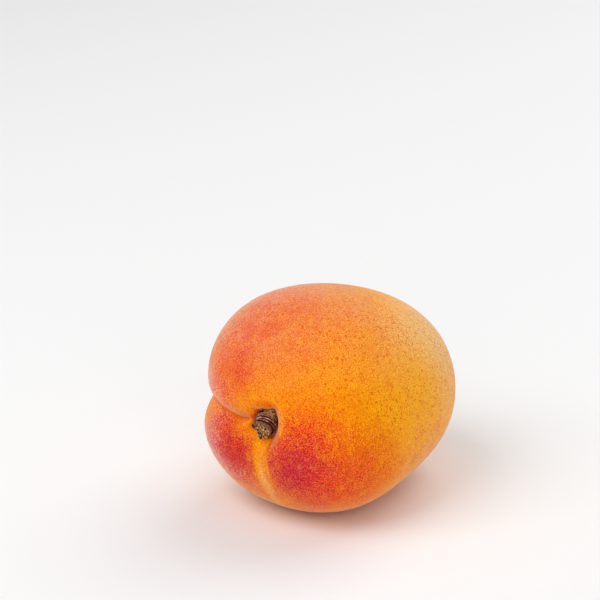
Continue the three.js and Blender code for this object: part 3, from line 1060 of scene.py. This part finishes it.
@dataclass
class Stalk:
    """The stalk: a flared root in the flesh, a short neck, a thin core and a torn end, in millimetres."""

    place: StalkPlace
    finish: WoodFinish = field(default_factory=WoodFinish)
    sides: int = 40
    levels: int = 3
    profile_mm: tuple[tuple[float, float], ...] = (
        (2.0, -1.3), (2.05, -0.7), (1.9, -0.25), (1.72, 0.1), (1.58, 0.5), (1.52, 1.0), (1.5, 1.6),
        (1.45, 1.95), (1.3, 2.2), (1.25, 2.8), (1.25, 3.5), (1.5, 3.95), (1.74, 4.06), (1.8, 4.25),
        (1.8, 4.6), (1.79, 4.9), (1.78, 5.12),
    )
    hump_size_mm: float = 0.55
    hump_mm: float = 0.3

    # The torn end: angle, reach and rise of its rim, and place, reach and depth of its pits.
    end_from_mm: float = 4.05
    overhang_mm: tuple[float, float] = (-0.45, -0.1)
    rim: tuple[tuple[float, float, float], ...] = (
        (-188, 1.05, 0.0), (-171, 0.68, 0.03), (-136, 0.36, 0.1), (-107, 0.36, 0.25), (-84, 0.5, 0.55),
        (-60, 0.72, 0.95), (-48, 0.8, 1.1), (-36, 0.72, 0.85), (-24, 0.84, 0.55), (-10, 1.0, 0.25),
        (8, 1.08, -0.05), (48, 1.08, -0.45), (101, 0.92, -0.85), (139, 1.05, -0.6), (172, 1.05, -0.05),
        (189, 0.68, 0.03),
    )
    reach_bend: float = 0.5
    overhang_bend: float = 0.3
    pits_mm: tuple[tuple[float, float, float, float], ...] = (
        (-0.37, 0.76, 0.32, 0.4), (-0.76, -0.2, 0.3, 0.35), (0.11, 0.02, 0.3, 0.35),
        (0.5, 0.75, 0.28, 0.25), (-1.25, 0.55, 0.3, 0.25), (0.35, -0.75, 0.25, 0.25),
    )
    pits_fade_mm: float = 0.4
    insets: int = 5
    inset_mm: float = 0.28
    bowl_mm: float = 0.35
    splinter_size_mm: float = 0.3
    splinter_mm: float = 0.45

    # Where the finish changes: along the stalk, across the torn face, and by how steep a face is.
    neck_fade_mm: Rise = (2.6, -0.6)
    # How the foot's painted shade fades up the stalk.
    foot_fade_mm: Rise = (0.75, -0.5)
    bark_fade_mm: Rise = (3.7, 0.3)
    steep_fade: Rise = (0.75, -0.4)
    rim_fade_mm: Rise = (1.25, 0.35)
    upwards: tuple[float, float] = (0.457, -0.494)
    upper_fade: Rise = (-0.4, 0.5)
    tips_mm: tuple[Triple, ...] = ((-2.2, 0.1, 5.1), (0.3, -1.25, 6.05))
    tip_reach_mm: float = 0.85
    tip_strength: float = 1.6
    relief_rounds: int = 24
    hollow_mm: float = 0.04
    crest_mm: float = 0.05

    def build(self) -> bpy.types.Object:
        """Builds and dresses the stalk.

        Returns:
            The stalk's object.
        """
        profile = [(radius * MM, height * MM) for radius, height in self.profile_mm]
        piece = turned("stalk", profile, self.sides, ring=False)
        self.tear_the_end(piece)
        subdivided(piece, self.levels)
        roughened(piece, self.hump_size_mm * MM, self.hump_mm * MM, 3)
        self.roughen_the_end(piece)
        self.mark_the_parts(piece)
        smooth_shaded(piece)
        settled(piece, self.place.axes())
        return handed_over(piece, Node.STEM, self.finish.material(self.place.axes()))

    def tear_the_end(self, piece: bpy.types.Object) -> None:
        """Splits the end's face into rings, hangs the end over to one side and tears its rim.

        Args:
            piece: The stalk's object, standing on its own axes.
        """
        top_radius_mm, top_mm = self.profile_mm[-1]
        pick(piece, lambda points: points[:, 2] > top_mm * MM - HAIR)
        with editing(piece):
            bpy.ops.mesh.select_mode(type="FACE")
            for _ in range(self.insets):
                bpy.ops.mesh.inset(thickness=self.inset_mm * MM)
        points = points_of(piece)
        angle = np.degrees(np.arctan2(points[:, 1], points[:, 0]))
        share = rising(points[:, 2] / MM, self.end_from_mm, top_mm - self.end_from_mm)
        outwards = rising(np.hypot(points[:, 0], points[:, 1]) / MM, 0, top_radius_mm)
        angles, reaches, rises = np.array(self.rim).T
        reach, rise = np.interp(angle, angles, reaches), np.interp(angle, angles, rises)
        bowl = self.bowl_mm * (outwards ** 2 - 1)
        points[:, 2] += share * (rise * outwards ** 2 + bowl) * MM
        points[:, :2] *= 1 + (reach - 1)[:, None] * share[:, None] ** self.reach_bend
        points[:, :2] += share[:, None] ** self.overhang_bend * np.array(self.overhang_mm) * MM
        put_points(piece, points)

    def roughen_the_end(self, piece: bpy.types.Object) -> None:
        """Presses pits in the torn face and gives it finer splinters than the neck.

        Args:
            piece: The stalk's object, standing on its own axes.
        """
        points = points_of(piece)
        face = rising(points[:, 2] / MM, self.end_from_mm, self.pits_fade_mm)
        for x, y, reach, depth in self.pits_mm:
            apart = np.hypot(points[:, 0] / MM - x, points[:, 1] / MM - y) / reach
            points[:, 2] -= face * depth * np.clip(1 - apart ** 2, 0, 1) * MM
        put_points(piece, points)
        torn = piece.vertex_groups.new(name="torn")
        high = np.flatnonzero(points_of(piece)[:, 2] > self.end_from_mm * MM)
        torn.add(high.tolist(), 1.0, "REPLACE")
        roughened(piece, self.splinter_size_mm * MM, self.splinter_mm * MM, 2, torn.name)

    def mark_the_parts(self, piece: bpy.types.Object) -> None:
        """Keeps, for the finish, where the foot, the neck, the bark and the dark tips are, and the relief,
        for the painted shade on the foot and in the pits and the painted highlight on the crests.

        Args:
            piece: The stalk's object, standing on its own axes.
        """
        points = points_of(piece) / MM
        x, y, height = points.T
        steep = rising(normals_of(piece)[:, 2], *self.steep_fade)
        store(piece, "neck", rising(height, *self.neck_fade_mm))
        store(piece, "foot", rising(height, *self.foot_fade_mm))
        rim = rising(np.hypot(x - self.overhang_mm[0], y - self.overhang_mm[1]), *self.rim_fade_mm)
        upper = rising(x * self.upwards[0] + y * self.upwards[1], *self.upper_fade)
        lower_rim = rim * (1 - upper)
        store(piece, "bark", np.maximum(steep, lower_rim) * rising(height, *self.bark_fade_mm))
        apart = [np.linalg.norm(points - np.array(tip), axis=1) for tip in self.tips_mm]
        nearness = self.tip_strength - self.tip_strength * np.min(apart, axis=0) / self.tip_reach_mm
        store(piece, "tip", np.clip(nearness, 0, 1))
        store(piece, "hollow", hollowness(piece, self.relief_rounds, self.hollow_mm * MM))
        # The crests carry a painted highlight.
        crest = hollowness(piece, self.relief_rounds, -self.crest_mm * MM)
        store(piece, "crest", crest * (1 - steep) * (1 - lower_rim))


@dataclass
class BudScales:
    """The sleeve of bud scales: rings that lie over each other like cups, in millimetres."""

    place: StalkPlace
    finish: BarkFinish = field(default_factory=BarkFinish)
    sides: int = 44
    levels: int = 2
    rings: int = 4
    start_mm: float = 1.95
    length_mm: float = 2.0
    inner_mm: float = 1.34
    groove_mm: float = 1.9
    lip_mm: float = 0.4
    scale_steps: tuple[tuple[float, float], ...] = (
        (0.0, 0.1), (0.25, 0.45), (0.5, 0.8), (0.7, 1.0), (0.85, 0.9), (0.93, 0.4),
    )
    edge_mm: float = 0.1
    tilt_mm: float = 0.07
    tilt_turns: tuple[float, float] = (2.4, 1.3)
    second_tilt: float = 0.6
    humps_mm: tuple[tuple[float, float], ...] = ((0.7, 0.22), (0.2, 0.08))

    def profile(self) -> list[tuple[float, float]]:
        """Gives the sleeve's profile.

        Returns:
            Radius and height of each step, in metres, closed by its first step.
        """
        pitch = self.length_mm / self.rings
        end = self.start_mm + self.length_mm
        steps = [(self.inner_mm, self.start_mm)]
        for ring in range(self.rings):
            foot = self.start_mm + ring * pitch
            steps += [(self.groove_mm + out * self.lip_mm, foot + share * pitch)
                      for share, out in self.scale_steps]
        steps += [(self.groove_mm - self.edge_mm, end), (self.inner_mm, end)]
        return [(radius * MM, height * MM) for radius, height in steps]

    def build(self) -> bpy.types.Object:
        """Builds and dresses the sleeve.

        Returns:
            The sleeve's object.
        """
        piece = turned("bud_scale_rings", self.profile(), self.sides, ring=True)
        self.tilt_the_rings(piece)
        subdivided(piece, self.levels)
        for size, height in self.humps_mm:
            roughened(piece, size * MM, height * MM)
        points = points_of(piece)
        apart = np.hypot(points[:, 0], points[:, 1]) / MM
        store(piece, "lip", rising(apart, self.groove_mm, self.lip_mm))
        smooth_shaded(piece)
        settled(piece, self.place.axes())
        return handed_over(piece, Node.BUD_SCALES, self.finish.material())

    def tilt_the_rings(self, piece: bpy.types.Object) -> None:
        """Tilts each ring a little its own way, as scales that grew one inside the other.

        Args:
            piece: The sleeve's object, standing on its own axes.
        """
        points = points_of(piece)
        rounding = 0.05
        ring = np.floor((points[:, 2] / MM - self.start_mm) / self.length_mm * self.rings + rounding)
        angle = np.arctan2(points[:, 1], points[:, 0])
        outside = np.hypot(points[:, 0], points[:, 1]) > (self.inner_mm + self.edge_mm) * MM
        turn, second_turn = self.tilt_turns
        tilt = np.sin(angle + turn * ring) + self.second_tilt * np.sin(2 * angle + second_turn * ring)
        points[:, 2] += outside * (self.tilt_mm * tilt) * MM
        put_points(piece, points)


# ---- Studio ----


@dataclass(frozen=True)
class Lamp:
    """One square light: its place and the length of its side in metres, and its power in watts."""

    name: str
    place: Triple
    size: float
    power: float


@dataclass
class Studio:
    """The pale floor, the soft lights and the camera."""

    middle_mm: Triple = (0.418, 2.287, 20.223)
    azimuth_deg: float = 36.41
    elevation_deg: float = 22.72
    distance: float = 0.4
    lens_mm: float = 120.0
    sensor_mm: float = 36.0
    pan_deg: float = 1.0255
    tilt_deg: float = 2.6265
    clip_start: float = 0.01
    floor_size: float = 6.0
    floor_colour: Triple = (0.9, 0.9, 0.9)
    floor_roughness: float = 0.9
    sky_strength: float = 0.4
    lamps: tuple[Lamp, ...] = (
        Lamp("key_light", (-0.2, -0.6, 0.8), 0.7, 5.0),
        Lamp("fill_light", (0.6, -0.7, 0.35), 0.8, 2.8),
        Lamp("back_light", (0.1, 0.7, 0.75), 0.9, 4.6),
    )

    def build(self) -> None:
        """Builds all of the studio."""
        self.lay_floor()
        self.light_the_sky()
        for lamp in self.lamps:
            self.hang(lamp)
        self.set_camera()
        bpy.context.scene.view_settings.view_transform = "Standard"

    def lay_floor(self) -> None:
        """Lays the floor under the fruit."""
        bpy.ops.object.select_all(action="DESELECT")
        bpy.ops.mesh.primitive_plane_add(size=self.floor_size)
        floor = bpy.context.object
        floor.name = "studio_floor"
        material = bpy.data.materials.new("studio_floor")
        material.use_nodes = True
        shader = material.node_tree.nodes["Principled BSDF"].inputs
        shader["Base Color"].default_value = (*self.floor_colour, 1)
        shader["Roughness"].default_value = self.floor_roughness
        floor.data.materials.append(material)

    def light_the_sky(self) -> None:
        """Puts an even white sky round the fruit."""
        world = bpy.data.worlds.new("white_sky")
        world.use_nodes = True
        sky = world.node_tree.nodes["Background"].inputs
        sky["Color"].default_value = (1, 1, 1, 1)
        sky["Strength"].default_value = self.sky_strength
        bpy.context.scene.world = world

    def hang(self, lamp: Lamp) -> None:
        """Hangs one light and turns it to the fruit.

        Args:
            lamp: The light.
        """
        aim = Vector(self.middle_mm) * MM - Vector(lamp.place)
        turn = aim.to_track_quat("-Z", "Y").to_euler()
        bpy.ops.object.light_add(type="AREA", location=lamp.place, rotation=turn)
        light = bpy.context.object
        light.name = lamp.name
        light.data.size = lamp.size
        light.data.energy = lamp.power

    def set_camera(self) -> None:
        """Sets the camera above and in front of the stem end."""
        lean, turn = math.radians(90 - self.elevation_deg), math.radians(self.azimuth_deg)
        level = Euler((lean, 0, turn)).to_matrix()
        place = Vector(self.middle_mm) * MM + level @ Vector((0, 0, self.distance))
        pan = Matrix.Rotation(math.radians(self.pan_deg), 3, "Y")
        tilt = Matrix.Rotation(math.radians(self.tilt_deg), 3, "X")
        bpy.ops.object.camera_add(location=place, rotation=(level @ pan @ tilt).to_euler())
        camera = bpy.context.object
        camera.data.lens = self.lens_mm
        camera.data.sensor_width = self.sensor_mm
        camera.data.clip_start = self.clip_start
        bpy.context.scene.camera = camera


def main() -> None:
    """Builds the studio and the three pieces."""
    logging.basicConfig(level=logging.INFO, format="%(name)s: %(message)s")
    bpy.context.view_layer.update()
    Studio().build()
    place = StalkPlace()
    for maker in (Fruit(place), Stalk(place), BudScales(place)):
        piece = maker.build()
        log.info("%s: %d points, %d faces", piece.name, len(piece.data.vertices), len(piece.data.polygons))
    bpy.context.view_layer.update()


if __name__ == "__main__":
    main()
